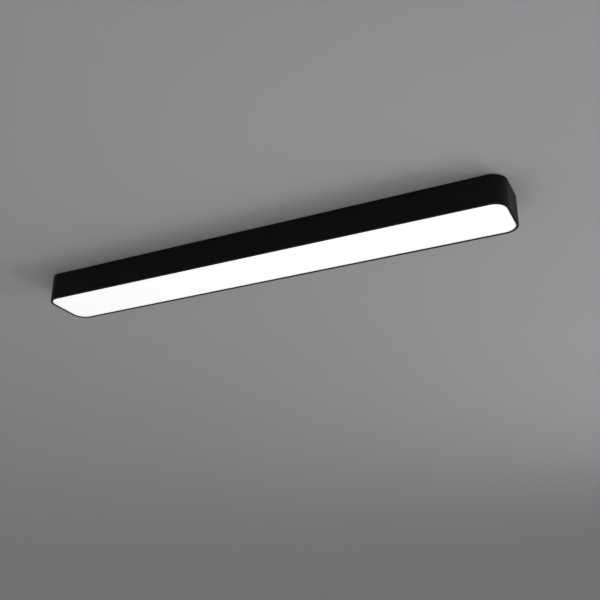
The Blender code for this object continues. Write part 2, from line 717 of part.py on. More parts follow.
# ---------------------------------------------------------------- terminal block
def build_terminal(body):
    half_length, half_width = TERMINAL_LENGTH / 2, TERMINAL_WIDTH / 2
    low = (-half_length, -half_width, TERMINAL_LOW_Z)
    block = box_mesh("terminal_block", low, (half_length, half_width, SEAT_Z))
    piece = make_part("terminal_block", block, "white_plastic", body, (TERMINAL_X, 0.0, 0.0))

    pegs = bmesh.new()
    for sign in (-1, 1):
        y = sign * PEG_SPACING / 2
        add_rod(pegs, (0.0, y, 2 * SEAT_Z), (0.0, y, -SCREW_TIP_COVER), PEG_DIAMETER)
    boolean(piece, "terminal_pegs", pegs, "UNION")

    ports = bmesh.new()
    pockets = bmesh.new()
    side = BUTTON_SIZE / 2 + TOUCH
    x = BUTTON_FROM_MOUTH - half_length
    for y in POLES.values():
        z = -TERMINAL_PORT_DROP
        mouth = (-half_length - TOUCH, y, z)
        add_rod(ports, mouth, (TERMINAL_PORT_DEPTH - half_length, y, z), TERMINAL_PORT)
        inner = (half_length - LEAD_GRIP - TOUCH, y, z)
        add_rod(ports, inner, (half_length + TOUCH, y, z), MAINS_LEAD + LEAD_PLAY)
        deep = TERMINAL_LOW_Z + BUTTON_SEAT + BUTTON_TRAVEL + TOUCH
        add_box(pockets, (x - side, y - side, TERMINAL_LOW_Z - TOUCH), (x + side, y + side, deep))
    boolean(piece, "terminal_ports", ports)
    boolean(piece, "button_pockets", pockets)


def build_button(name, body):
    half = BUTTON_SIZE / 2
    button = box_mesh(name, (-half, -half, -BUTTON_PROUD), (half, half, BUTTON_SEAT))
    piece = make_part(name, button, "orange_plastic", body, body.location)
    slot = bmesh.new()
    add_box(slot, (-2 * half, -0.2 * half, -2 * BUTTON_PROUD), (2 * half, 0.2 * half, -0.75 * BUTTON_PROUD))
    boolean(piece, f"{name}_slot", slot)


# ---------------------------------------------------------------- cable entry and earth
def build_cable_entry(body):
    neck, flange, bore = GROMMET_NECK / 2, GROMMET_FLANGE / 2, GROMMET_BORE / 2
    low = SEAT_Z - GROMMET_FLANGE_HEIGHT
    profile = [
        (neck, -SCREW_TIP_COVER),
        (neck, SEAT_Z),
        (flange, SEAT_Z),
        (flange, 0.6 * low + 0.4 * SEAT_Z),
        (0.9 * flange, low),
        (1.15 * bore, low),
        (bore, 0.8 * low),
        (bore, -2 * SCREW_TIP_COVER),
        (1.1 * bore, -SCREW_TIP_COVER),
    ]
    ring = turned_mesh("cable_grommet", profile, closed=True)
    piece = make_part("cable_grommet", ring, "black_rubber", body, (GROMMET_X, 0.0, 0.0))
    add_screw_modifier(piece, 2 * ROUND_STEPS)

    half = CLAMP_SHEET / 2
    foot_z, arch_z = SEAT_Z - half, SEAT_Z - CLAMP_ARCH_RISE
    arch = CLAMP_ARCH_WIDTH / 2
    profile = [
        (-arch - CLAMP_FOOT, foot_z),
        (-arch, foot_z),
        (-arch + CLAMP_SHEET, arch_z),
        (arch - CLAMP_SHEET, arch_z),
        (arch, foot_z),
        (arch + CLAMP_FOOT, foot_z),
    ]
    mesh = strip_mesh("cable_clamp", profile, CLAMP_LENGTH)
    piece = make_part("cable_clamp", mesh, "white_plastic", body, (CLAMP_X, 0.0, 0.0))
    add_sheet_modifier(piece, CLAMP_SHEET)
    holes = bmesh.new()
    for sign in (-1, 1):
        y = sign * (CLAMP_ARCH_WIDTH + CLAMP_FOOT) / 2
        add_rod(holes, (0.0, y, SEAT_Z - 2 * CLAMP_SHEET), (0.0, y, 0.0), SCREW_SHANK + SCREW_PLAY)
    boolean(piece, "clamp_holes", holes)


def earth_lug_end():
    """Where the earth lead meets the lug's barrel."""
    x = EARTH_X + EARTH_LUG_DIAMETER / 2 + EARTH_LUG_TAIL
    return Vector((x, EARTH_Y, SEAT_Z - MAINS_LEAD))


def build_earth_lug(body):
    """A ring lug: an eye under the earth screw and a barrel that grips the earth lead."""
    low = SEAT_Z - EARTH_LUG_THICKNESS
    at = (EARTH_X, EARTH_Y, 0.0)
    eye = bmesh.new()
    add_rod(eye, (0.0, 0.0, low), (0.0, 0.0, SEAT_Z), EARTH_LUG_DIAMETER, 16)
    piece = make_part("earth_lug", mesh_from("earth_lug", eye), "tinned_copper", body, at)
    tail = bmesh.new()
    end = earth_lug_end() - Vector(at)
    add_box(tail, (0.0, -MAINS_LEAD / 2, low), (0.45 * end.x, MAINS_LEAD / 2, SEAT_Z))
    boolean(piece, "earth_lug_tail", tail, "UNION")
    barrel = bmesh.new()
    add_rod(barrel, (0.4 * end.x, 0.0, end.z), (end.x, 0.0, end.z), 1.7 * MAINS_LEAD)
    boolean(piece, "earth_lug_barrel", barrel, "UNION")
    hole = bmesh.new()
    add_rod(hole, (0.0, 0.0, 2 * low), (0.0, 0.0, 0.0), SCREW_SHANK + SCREW_PLAY)
    boolean(piece, "earth_lug_hole", hole)
    socket = bmesh.new()
    start = (end.x - LEAD_GRIP - TOUCH, 0.0, end.z)
    add_rod(socket, start, (end.x + TOUCH, 0.0, end.z), MAINS_LEAD + LEAD_PLAY)
    boolean(piece, "earth_lug_socket", socket)


# ---------------------------------------------------------------- leads
def smooth_route(points, spacing):
    """Points read about every spacing from a Catmull-Rom curve through the route's own points."""
    route = [Vector(p) for p in points]
    ends = [2 * route[0] - route[1], *route, 2 * route[-1] - route[-2]]
    read = []
    for i in range(1, len(ends) - 2):
        a, b, c, d = ends[i - 1 : i + 3]
        steps = max(1, round((c - b).length / spacing))
        for k in range(steps):
            t = k / steps
            read.append(
                0.5
                * (
                    2 * b
                    + (c - a) * t
                    + (2 * a - 5 * b + 4 * c - d) * t**2
                    + (3 * b - a - 3 * c + d) * t**3
                )
            )
    return [*read, route[-1]]


def make_lead(name, points, diameter, finish_name, body):
    route = smooth_route(points, 3 * diameter)
    line = bpy.data.curves.new(name, "CURVE")
    line.dimensions = "3D"
    line.bevel_depth = diameter / 2
    line.bevel_resolution = 2
    line.use_fill_caps = True
    spline = line.splines.new("POLY")
    spline.points.add(len(route) - 1)
    for point, place in zip(spline.points, route, strict=True):
        point.co = (*place, 1.0)
    make_part(name, line, finish_name, body)


def build_mains_leads(body):
    start_x = TERMINAL_X + TERMINAL_LENGTH / 2 - LEAD_GRIP
    end_x = DRIVER_MAINS_END + DRIVER_WALL + LEAD_GRIP
    z, driver_z = -TERMINAL_PORT_DROP, -DRIVER_PORT_DROP
    span = end_x - start_x
    mains, _ = lead_hole_places()
    for name, pole, y_end, colour in (
        ("live_lead", "live", mains[1], "brown_lead"),
        ("neutral_lead", "neutral", mains[0], "blue_lead"),
    ):
        y = POLES[pole]
        points = [
            (start_x, y, z),
            (start_x + 0.25 * span, y, z),
            (start_x + 0.40 * span, y + 0.0005, z - 0.0010),
            (start_x + 0.55 * span, (y + y_end) / 2, (z + driver_z) / 2 - 0.0010),
            (start_x + 0.72 * span, y_end, driver_z),
            (end_x, y_end, driver_z),
        ]
        make_lead(name, points, MAINS_LEAD, colour, body)

    y = POLES["earth"]
    lug = earth_lug_end()
    turn_x = start_x + 0.0190
    points = [
        (start_x, y, z),
        (start_x + 0.0080, y, z),
        (start_x + 0.0130, y - 0.0010, z + 0.0003),
        (turn_x - 0.0030, y - 0.0040, z + 0.0012),
        (turn_x - 0.0016, (y + lug.y) / 2, z + 0.0022),
        (turn_x - 0.0036, lug.y + 0.0030, lug.z - 0.0006),
        (lug.x + 0.0085, lug.y + 0.0004, lug.z),
        (lug.x + 0.0030, lug.y, lug.z),
        (lug.x - LEAD_GRIP, lug.y, lug.z),
    ]
    make_lead("earth_lead", points, MAINS_LEAD, "green_lead", body)


def build_led_leads(body):
    """A red and a black lead from the driver to each left connector, and on to the right one."""
    _, holes = lead_hole_places()
    pairs = {"front": (holes[0], holes[1]), "rear": (holes[3], holes[2])}
    start_x = DRIVER_END - DRIVER_WALL - LEAD_GRIP
    socket_z = CONNECTOR_Z
    for row, y in ROWS.items():
        inward = math.copysign(1.0, -y)
        for number, (colour, pole) in enumerate((("red", -0.5), ("black", 0.5))):
            hole = pairs[row][number]
            x = -CONNECTOR_X + pole * 0.8 * POLE_PITCH - 0.3 * LED_LEAD
            socket_y = y + inward * (CONNECTOR_WIDTH / 2 - LED_LEAD + TOUCH)
            points = [
                (start_x, hole, -DRIVER_PORT_DROP),
                (DRIVER_END + 0.010, hole, -DRIVER_PORT_DROP),
                (DRIVER_END + 0.018 + number * 0.002, hole - inward * 0.0015, 0.7 * -DRIVER_PORT_DROP),
                (x - 0.008, 0.45 * y, socket_z - 0.002),
                (x - 0.001, 0.62 * y, socket_z - 0.001),
                (x, socket_y + inward * 0.006, socket_z),
                (x, socket_y, socket_z),
            ]
            make_lead(f"{colour}_feed_{row}", points, LED_LEAD, f"{colour}_lead", body)

            reach = CONNECTOR_X - CONNECTOR_LENGTH / 2 + LEAD_GRIP - LED_LEAD - TOUCH
            jumper_y = y + pole * POLE_PITCH
            mouth = CONNECTOR_X - CONNECTOR_LENGTH / 2 - LED_LEAD
            sag = socket_z - 1.5 * LED_LEAD
            points = [
                (-reach, jumper_y, socket_z),
                (-mouth, jumper_y, socket_z),
                (0.0, jumper_y + pole * LED_LEAD, sag),
                (mouth, jumper_y, socket_z),
                (reach, jumper_y, socket_z),
            ]
            make_lead(f"{colour}_jumper_{row}", points, LED_LEAD, f"{colour}_lead", body)


# ---------------------------------------------------------------- the whole light
def main():
    clear_scene()
    make_collection(PARTS)
    make_collection(CUTTERS)

    base = make_body("ceiling_base")
    build_plate(base)
    build_clips(base)
    build_strips(base)
    build_driver_tub(base)
    build_driver_lid(base)
    build_driver_electronics(base)
    build_terminal(base)
    build_cable_entry(base)
    build_earth_lug(base)
    build_screws(base)
    build_mains_leads(base)
    build_led_leads(base)

    build_selector(make_body("colour_selector", selector_place()))
    for pole, y in POLES.items():
        name = f"{pole}_release_button"
        build_button(name, make_body(f"{pole}_release", (BUTTON_X, y, TERMINAL_LOW_Z)))

    housing = make_body("housing")
    build_housing(housing)
    build_diffuser(housing)
    build_brackets(housing)


main()
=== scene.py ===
import json
import math

import bmesh
import bpy
from mathutils import Matrix, Vector


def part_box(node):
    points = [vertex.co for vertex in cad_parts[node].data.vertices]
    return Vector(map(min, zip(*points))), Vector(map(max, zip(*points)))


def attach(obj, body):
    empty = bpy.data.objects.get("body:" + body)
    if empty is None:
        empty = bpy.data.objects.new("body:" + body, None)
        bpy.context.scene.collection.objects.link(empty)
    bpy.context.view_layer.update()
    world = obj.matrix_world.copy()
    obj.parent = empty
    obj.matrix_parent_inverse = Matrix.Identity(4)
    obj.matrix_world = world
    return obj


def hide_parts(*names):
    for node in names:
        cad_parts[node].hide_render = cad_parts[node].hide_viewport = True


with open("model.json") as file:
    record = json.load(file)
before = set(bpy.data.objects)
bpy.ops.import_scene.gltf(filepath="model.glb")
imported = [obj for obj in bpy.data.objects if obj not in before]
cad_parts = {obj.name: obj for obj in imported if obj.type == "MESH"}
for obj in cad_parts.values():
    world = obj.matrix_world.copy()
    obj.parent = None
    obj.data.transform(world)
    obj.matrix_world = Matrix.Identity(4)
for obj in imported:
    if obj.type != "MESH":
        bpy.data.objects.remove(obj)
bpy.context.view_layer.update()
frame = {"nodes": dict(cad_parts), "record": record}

# ---------------------------------------------------------------- sizes shared with the solids
CORNER = 0.036  # outer radius of the housing's upright corners
WALL = 0.0012
RIM_REACH = 0.0060  # from the outer face to the edge of the light window
RIM_SHEET = 0.0012
DIFFUSER_PLAY = 0.0006
ROW_OFFSET = 0.038  # from the middle to each row of LEDs
BOARD_SHEET = 0.0012
CHIP = Vector((0.0035, 0.0028, 0.0008))
CHIPS_ON_BOARD = 24
SCREW_SHANK = 0.0030
SCREW_HEAD = 0.0060
SCREW_HEAD_HEIGHT = 0.0020

# ---------------------------------------------------------------- sizes that only the looks need
RIM_ROUNDING = 0.0005
BOARD_CORNER = 0.0008
BOARD_HOLE = 0.0036
HOLE_OVERRUN = 0.001  # how far a hole's cutter runs past each face of the board
WINDOW_INSET = 0.00035  # from a chip's edge to its lit window
WINDOW_DEPTH = 0.00015
RESISTOR_SIZE = Vector((0.0032, 0.0016, 0.0005))
RESISTOR_OFFSET = 0.0042  # from the board's long edge to the resistors
CHIPS_TO_RESISTOR = 4
RECESS_REACH = 0.0017  # from a screw's middle to the end of its cross recess
RECESS_HALF_WIDTH = 0.00032
SCREW_TURN = 0.7  # radians that each screw is turned past the one before
HALF_TRACK_PITCH = 0.0019  # half the distance between copper tracks under a solder mask
HALF_BREAK_PITCH = 0.0117  # half the distance between the breaks in a track
CEILING_Z = 0.0006  # a hair above the plate's top face
FLOOR_Z = -2.6
ROOM = 50.0

ROWS = ("front", "rear")
SIDES = ("left", "right")
SLOT_OF = {row["node"]: row["material_slot"] for row in frame["record"]["subparts"]}
BODY_OF = {
    node: body
    for body, nodes in frame["record"]["behaviour"]["bodies"].items()
    for node in nodes
}


# ---------------------------------------------------------------- the bench: picking and shaping
def take(piece):
    """The only piece in hand."""
    bpy.ops.object.select_all(action="DESELECT")
    piece.select_set(True)
    bpy.context.view_layer.objects.active = piece


def open_up(piece):
    take(piece)
    bpy.ops.object.mode_set(mode="EDIT")
    bpy.ops.mesh.select_all(action="DESELECT")


def close_up():
    bpy.ops.object.mode_set(mode="OBJECT")


def pick(piece, kind, rule):
    """Selects the open piece's vertices, edges or faces that the rule holds for."""
    bpy.ops.mesh.select_mode(type=kind)
    bpy.ops.mesh.select_all(action="DESELECT")
    shape = bmesh.from_edit_mesh(piece.data)
    shape.normal_update()
    for item in {"VERT": shape.verts, "EDGE": shape.edges, "FACE": shape.faces}[kind]:
        if rule(item):
            item.select_set(True)
    shape.select_flush_mode()
    bmesh.update_edit_mesh(piece.data)


def faces_down(face):
    return face.normal.z < -0.9


def faces_up(face):
    return face.normal.z > 0.9


def is_upright(edge):
    return abs(edge.verts[0].co.z - edge.verts[1].co.z) > 0.9 * edge.calc_length()


def push(distance):
    """Extrudes what is picked along Z."""
    bpy.ops.mesh.extrude_region_move(TRANSFORM_OT_translate={"value": (0.0, 0.0, distance)})


def set_in_place(piece):
    """Puts the piece's place, turn and size into its mesh."""
    take(piece)
    bpy.ops.object.transform_apply(location=True, rotation=True, scale=True)


def new_block(name, low, high):
    low, high = Vector(low), Vector(high)
    bpy.ops.object.select_all(action="DESELECT")
    bpy.ops.mesh.primitive_cube_add(size=1.0, location=(low + high) / 2)
    block = bpy.context.object
    block.name = block.data.name = name
    bpy.ops.transform.resize(value=high - low)
    set_in_place(block)
    return block


def new_rod(name, start, end, radius, sides=32):
    start, end = Vector(start), Vector(end)
    bpy.ops.object.select_all(action="DESELECT")
    bpy.ops.mesh.primitive_cylinder_add(
        vertices=sides,
        radius=radius,
        depth=(end - start).length,
        location=(start + end) / 2,
        rotation=(end - start).to_track_quat("Z", "Y").to_euler(),
    )
    rod = bpy.context.object
    rod.name = rod.data.name = name
    set_in_place(rod)
    return rod


def round_uprights(piece, radius, segments):
    open_up(piece)
    pick(piece, "EDGE", is_upright)
    bpy.ops.mesh.bevel(offset=radius, offset_type="OFFSET", segments=segments, profile=0.5)
    close_up()


def apply_modifier(piece, kind, **settings):
    take(piece)
    modifier = piece.modifiers.new(kind.title(), kind)
    for key, value in settings.items():
        setattr(modifier, key, value)
    bpy.ops.object.modifier_apply(modifier=modifier.name)


def break_edges(piece, width, segments=2, sharper_than=35.0):
    """Takes the sharpness off every edge, as deburring and a coat of finish do."""
    apply_modifier(
        piece,
        "BEVEL",
        width=width,
        segments=segments,
        limit_method="ANGLE",
        angle_limit=math.radians(sharper_than),
        use_clamp_overlap=True,
    )


def smooth(piece, angle=35.0):
    """Shades round faces round and keeps flat ones flat."""
    take(piece)
    bpy.ops.object.shade_smooth_by_angle(angle=math.radians(angle))
    apply_modifier(piece, "WEIGHTED_NORMAL", keep_sharp=True, weight=80)


def cut(piece, cutter):
    apply_modifier(piece, "BOOLEAN", operation="DIFFERENCE", solver="EXACT", object=cutter)
    bpy.data.objects.remove(cutter)


def copy_of(piece, name, shift=(0.0, 0.0, 0.0), turn=0.0):
    """A copy with its own mesh, turned about the vertical and then shifted."""
    mesh = piece.data.copy()
    mesh.name = name
    mesh.transform(Matrix.Translation(shift) @ Matrix.Rotation(turn, 4, "Z"))
    twin = bpy.data.objects.new(name, mesh)
    bpy.context.scene.collection.objects.link(twin)
    return twin


def fit(piece, node, *more_nodes):
    """The piece stands for those solids, on their body."""
    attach(piece, BODY_OF[node])
    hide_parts(node, *more_nodes)
    return piece


def add_to(piece, node):
    """The piece goes with that solid, on its body, and replaces nothing."""
    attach(piece, BODY_OF[node])
    return piece


def coat(piece, *materials):
    piece.data.materials.clear()
    for material in materials:
        piece.data.materials.append(material)
    return piece


# ---------------------------------------------------------------- shader trees
def put(tree, kind, settings=None, **inputs):
    """A shader node with its settings, and its inputs set or linked by name, or by number as i0."""
    made = tree.nodes.new(kind)
    for key, value in (settings or {}).items():
        setattr(made, key, value)
    for key, value in inputs.items():
        by_number = key[0] == "i" and key[1:].isdigit()
        socket = made.inputs[int(key[1:]) if by_number else key.replace("_", " ")]
        if isinstance(value, bpy.types.NodeSocket):
            tree.links.new(value, socket)
        else:
            socket.default_value = value
    return made


def calc(tree, operation, a, b=0.0, c=0.0, clamp=False):
    settings = {"operation": operation, "use_clamp": clamp}
    return put(tree, "ShaderNodeMath", settings, i0=a, i1=b, i2=c).outputs[0]


def spread(tree, value, low, high, to_low=0.0, to_high=1.0):
    """Maps low to high onto to_low to to_high, and holds it there."""
    made = put(
        tree,
        "ShaderNodeMapRange",
        {"clamp": True, "interpolation_type": "SMOOTHSTEP"},
        Value=value,
        From_Min=low,
        From_Max=high,
        To_Min=to_low,
        To_Max=to_high,
    )
    return made.outputs["Result"]


def noise(tree, vector, scale, detail=3.0, roughness=0.55):
    made = put(
        tree,
        "ShaderNodeTexNoise",
        None,
        Vector=vector,
        Scale=scale,
        Detail=detail,
        Roughness=roughness,
    )
    return made.outputs["Fac"]


def times(tree, a, b):
    return calc(tree, "MULTIPLY", a, b)


def blend_colours(tree, share, first, second):
    made = put(tree, "ShaderNodeMix", {"data_type": "RGBA"}, i0=share, i6=first, i7=second)
    return made.outputs[2]


def stretched(tree, vector, stretch):
    made = put(tree, "ShaderNodeVectorMath", {"operation": "MULTIPLY"}, i0=vector, i1=stretch)
    return made.outputs["Vector"]


def new_group(name, takes, gives):
    """An empty group with float inputs and outputs, and a Vector input. Returns tree, inputs and a
    function that wires an output."""
    tree = bpy.data.node_groups.new(name, "ShaderNodeTree")
    tree.interface.new_socket("Vector", in_out="INPUT", socket_type="NodeSocketVector")
    for socket_name, value in takes.items():
        made = tree.interface.new_socket(socket_name, in_out="INPUT", socket_type="NodeSocketFloat")
        made.default_value = value
    for socket_name in gives:
        tree.interface.new_socket(socket_name, in_out="OUTPUT", socket_type="NodeSocketFloat")
    entry = tree.nodes.new("NodeGroupInput")
    leave = tree.nodes.new("NodeGroupOutput")

    def give(socket_name, value):
        tree.links.new(value, leave.inputs[socket_name])

    return tree, entry.outputs, give


def make_powder_group():
    """Powder coat: fine grain on a soft orange peel, with the odd coarse fleck."""
    tree, take_in, give = new_group(
        "powder_coat_skin", {"Grain": 2600.0, "Peel": 420.0}, ("Height", "Tone", "Flecks")
    )
    vector = take_in["Vector"]
    grain = noise(tree, vector, take_in["Grain"], 2.0, 0.6)
    cells = put(
        tree, "ShaderNodeTexVoronoi", {"feature": "SMOOTH_F1"}, Vector=vector, Scale=take_in["Peel"]
    )
    give("Height", calc(tree, "ADD", times(tree, grain, 0.45), cells.outputs["Distance"]))
    give("Tone", noise(tree, vector, 9.0, 4.0))
    fleck_noise = noise(tree, vector, times(tree, take_in["Grain"], 0.4), 1.0)
    give("Flecks", spread(tree, fleck_noise, 0.70, 0.78))
    return tree


def make_wear_group():
    """Worn edges: where the surface turns within the radius, broken up by noise."""
    tree, take_in, give = new_group(
        "edge_wear", {"Radius": 0.001, "Break Up": 300.0, "Amount": 0.5}, ("Mask",)
    )
    rounded = put(tree, "ShaderNodeBevel", {"samples": 4}, Radius=take_in["Radius"])
    flat = put(tree, "ShaderNodeNewGeometry")
    same = put(
        tree,
        "ShaderNodeVectorMath",
        {"operation": "DOT_PRODUCT"},
        i0=rounded.outputs["Normal"],
        i1=flat.outputs["True Normal"],
    )
    turned = spread(tree, calc(tree, "SUBTRACT", 1.0, same.outputs["Value"]), 0.04, 0.26)
    broken = spread(tree, noise(tree, take_in["Vector"], take_in["Break Up"], 5.0), 0.42, 0.60)
    worn = times(tree, turned, broken)
    give("Mask", calc(tree, "MULTIPLY", worn, take_in["Amount"], clamp=True))
    return tree


def make_dust_group():
    """Dust: a thin patchy film with a few specks, nearly all of it on what faces up."""
    tree, take_in, give = new_group("settled_dust", {"Amount": 0.4, "Patch": 14.0}, ("Mask",))
    facing = put(tree, "ShaderNodeNewGeometry")
    parts = put(tree, "ShaderNodeSeparateXYZ", None, Vector=facing.outputs["True Normal"])
    upward = spread(tree, parts.outputs["Z"], 0.2, 0.95, 0.04, 1.0)
    patches = spread(tree, noise(tree, take_in["Vector"], take_in["Patch"], 6.0, 0.65), 0.30, 0.72)
    specks = spread(tree, noise(tree, take_in["Vector"], 1500.0, 1.0), 0.68, 0.76, 0.0, 0.5)
    film = times(tree, upward, calc(tree, "ADD", patches, specks))
    give("Mask", calc(tree, "MULTIPLY", film, take_in["Amount"], clamp=True))
    return tree


def make_handling_group():
    """Handling: broad smears that change the gloss, and a few straight hairline scratches."""
    tree, take_in, give = new_group("handling_marks", {"Smear": 22.0}, ("Smear", "Scratches"))
    vector = take_in["Vector"]
    give("Smear", spread(tree, noise(tree, vector, take_in["Smear"], 5.0, 0.6), 0.38, 0.66))
    lines = None
    for turn, along in ((0.35, (14.0, 2400.0, 2400.0)), (-0.95, (22.0, 3100.0, 3100.0))):
        about_z = {"rotation_type": "Z_AXIS"}
        turned = put(tree, "ShaderNodeVectorRotate", about_z, Vector=vector, Angle=turn)
        streaks = noise(tree, stretched(tree, turned.outputs["Vector"], along), 1.0, 1.0)
        line = spread(tree, streaks, 0.70, 0.75)
        lines = line if lines is None else calc(tree, "MAXIMUM", lines, line)
    rare = spread(tree, noise(tree, vector, 26.0, 2.0), 0.50, 0.62)
    give("Scratches", times(tree, lines, rare))
    return tree


def make_rolled_group():
    """Rolled sheet metal: long grain along X, and cloudy patches in the plating."""
    tree, take_in, give = new_group("rolled_metal", {"Grain": 1800.0}, ("Height", "Tone"))
    vector = take_in["Vector"]
    fine = stretched(tree, vector, (0.04, 1.0, 1.0))
    give("Height", noise(tree, fine, take_in["Grain"], 3.0))
    clouds = put(tree, "ShaderNodeTexVoronoi", {"feature": "F1"}, Vector=vector, Scale=260.0)
    cloudy = times(tree, clouds.outputs["Color"], 0.5)
    grained = times(tree, noise(tree, fine, 500.0, 3.0), 0.5)
    give("Tone", calc(tree, "ADD", cloudy, grained))
    return tree


def make_moulded_group():
    """Moulded plastic: a spark-eroded skin, and slow waves from shrinkage."""
    tree, take_in, give = new_group("moulded_skin", {"Grain": 3200.0}, ("Height", "Tone"))
    vector = take_in["Vector"]
    skin = noise(tree, vector, take_in["Grain"], 2.0, 0.7)
    sink = times(tree, noise(tree, vector, 130.0, 1.0), 1.6)
    give("Height", calc(tree, "ADD", skin, sink))
    give("Tone", noise(tree, vector, 45.0, 4.0))
    return tree


POWDER = make_powder_group()
WEAR = make_wear_group()
DUST = make_dust_group()
HANDLING = make_handling_group()
ROLLED = make_rolled_group()
MOULDED = make_moulded_group()


def use(tree, group, vector, **inputs):
    made = put(tree, "ShaderNodeGroup", {"node_tree": group}, Vector=vector, **inputs)
    return made.outputs


def new_material(name, **constants):
    """A Principled material. Returns it with its tree, its shader and Object coordinates."""
    material = bpy.data.materials.new(name)
    material.use_nodes = True
    tree = material.node_tree
    shader = tree.nodes["Principled BSDF"]
    for key, value in constants.items():
        shader.inputs[key.replace("_", " ")].default_value = value
    place = put(tree, "ShaderNodeTexCoord").outputs["Object"]
    return material, tree, shader, place


def wire(tree, shader, **outputs):
    for key, value in outputs.items():
        tree.links.new(value, shader.inputs[key.replace("_", " ")])


def emboss(tree, height, depth, strength=1.0):
    made = put(tree, "ShaderNodeBump", None, Height=height, Distance=depth, Strength=strength)
    return made.outputs["Normal"]


def rgb(*colour):
    return (*colour, 1.0)


def black_powder_coat():
    """Matt black powder coat on steel, a touch greyer on worn edges and in the dust."""
    material, tree, shader, place = new_material("matt_black_powder_coat", Specular_IOR_Level=0.14)
    skin = use(tree, POWDER, place, Grain=2600.0, Peel=420.0)
    worn = use(tree, WEAR, place, Radius=0.0009, Break_Up=260.0, Amount=0.2)["Mask"]
    dust = use(tree, DUST, place, Amount=0.35, Patch=12.0)["Mask"]
    marks = use(tree, HANDLING, place, Smear=16.0)
    deepest, palest = rgb(0.0040, 0.0034, 0.0044), rgb(0.0064, 0.0056, 0.0069)
    black = blend_colours(tree, skin["Tone"], deepest, palest)
    black = blend_colours(tree, times(tree, skin["Flecks"], 0.5), black, rgb(0.022, 0.021, 0.023))
    black = blend_colours(tree, worn, black, rgb(0.055, 0.054, 0.056))
    black = blend_colours(tree, dust, black, rgb(0.16, 0.155, 0.15))
    rough = spread(tree, skin["Tone"], 0.2, 0.8, 0.46, 0.56)
    rough = calc(tree, "SUBTRACT", rough, times(tree, marks["Smear"], 0.05))
    rough = calc(tree, "ADD", rough, times(tree, dust, 0.3))
    wire(tree, shader, Base_Color=black, Roughness=rough)
    wire(tree, shader, Normal=emboss(tree, skin["Height"], 0.0001, 1.0))
    return material


def opal_acrylic():
    """Opal acrylic with a satin skin, lit from behind: a shade brighter over each row of LEDs."""
    material, tree, shader, place = new_material(
        "lit_opal_acrylic", Emission_Strength=0.565, Specular_IOR_Level=0.35
    )
    skin = use(tree, MOULDED, place, Grain=1500.0)
    dust = use(tree, DUST, place, Amount=0.2, Patch=9.0)["Mask"]
    white = blend_colours(tree, skin["Tone"], rgb(0.90, 0.90, 0.905), rgb(0.93, 0.93, 0.93))
    white = blend_colours(tree, dust, white, rgb(0.62, 0.60, 0.57))
    parts = put(tree, "ShaderNodeSeparateXYZ", None, Vector=place)
    near_row = calc(tree, "PINGPONG", calc(tree, "ABSOLUTE", parts.outputs["Y"]), ROW_OFFSET)
    along = put(
        tree, "ShaderNodeTexWave", {"wave_profile": "SIN"}, Vector=place, Scale=6.8, Distortion=0.0
    ).outputs["Fac"]
    across = spread(tree, near_row, 0.0, ROW_OFFSET, 0.30, 0.65)
    glow = calc(tree, "ADD", across, times(tree, along, 0.2))
    lit = blend_colours(tree, glow, rgb(0.955, 0.945, 0.965), rgb(1.0, 0.99, 1.0))
    wire(tree, shader, Base_Color=white, Emission_Color=lit)
    wire(tree, shader, Roughness=spread(tree, skin["Tone"], 0.2, 0.8, 0.30, 0.42))
    wire(tree, shader, Normal=emboss(tree, skin["Height"], 0.00002, 0.5))
    return material


def white_enamel():
    """Stove enamel on folded steel, with grey rub marks on its edges and dust on top."""
    material, tree, shader, place = new_material("white_stove_enamel", Specular_IOR_Level=0.45)
    skin = use(tree, POWDER, place, Grain=1700.0, Peel=300.0)
    worn = use(tree, WEAR, place, Radius=0.0012, Break_Up=180.0, Amount=0.6)["Mask"]
    dust = use(tree, DUST, place, Amount=0.45, Patch=7.0)["Mask"]
    marks = use(tree, HANDLING, place, Smear=14.0)
    white = blend_colours(tree, skin["Tone"], rgb(0.77, 0.77, 0.755), rgb(0.83, 0.83, 0.82))
    scratched = times(tree, marks["Scratches"], 0.6)
    white = blend_colours(tree, scratched, white, rgb(0.45, 0.45, 0.45))
    white = blend_colours(tree, worn, white, rgb(0.34, 0.34, 0.35))
    white = blend_colours(tree, dust, white, rgb(0.52, 0.50, 0.47))
    rough = spread(tree, skin["Tone"], 0.2, 0.8, 0.36, 0.48)
    rough = calc(tree, "SUBTRACT", rough, times(tree, marks["Smear"], 0.08))
    rough = calc(tree, "ADD", rough, times(tree, dust, 0.35))
    wire(tree, shader, Base_Color=white, Roughness=rough)
    wire(tree, shader, Normal=emboss(tree, skin["Height"], 0.00005, 0.5))
    return material


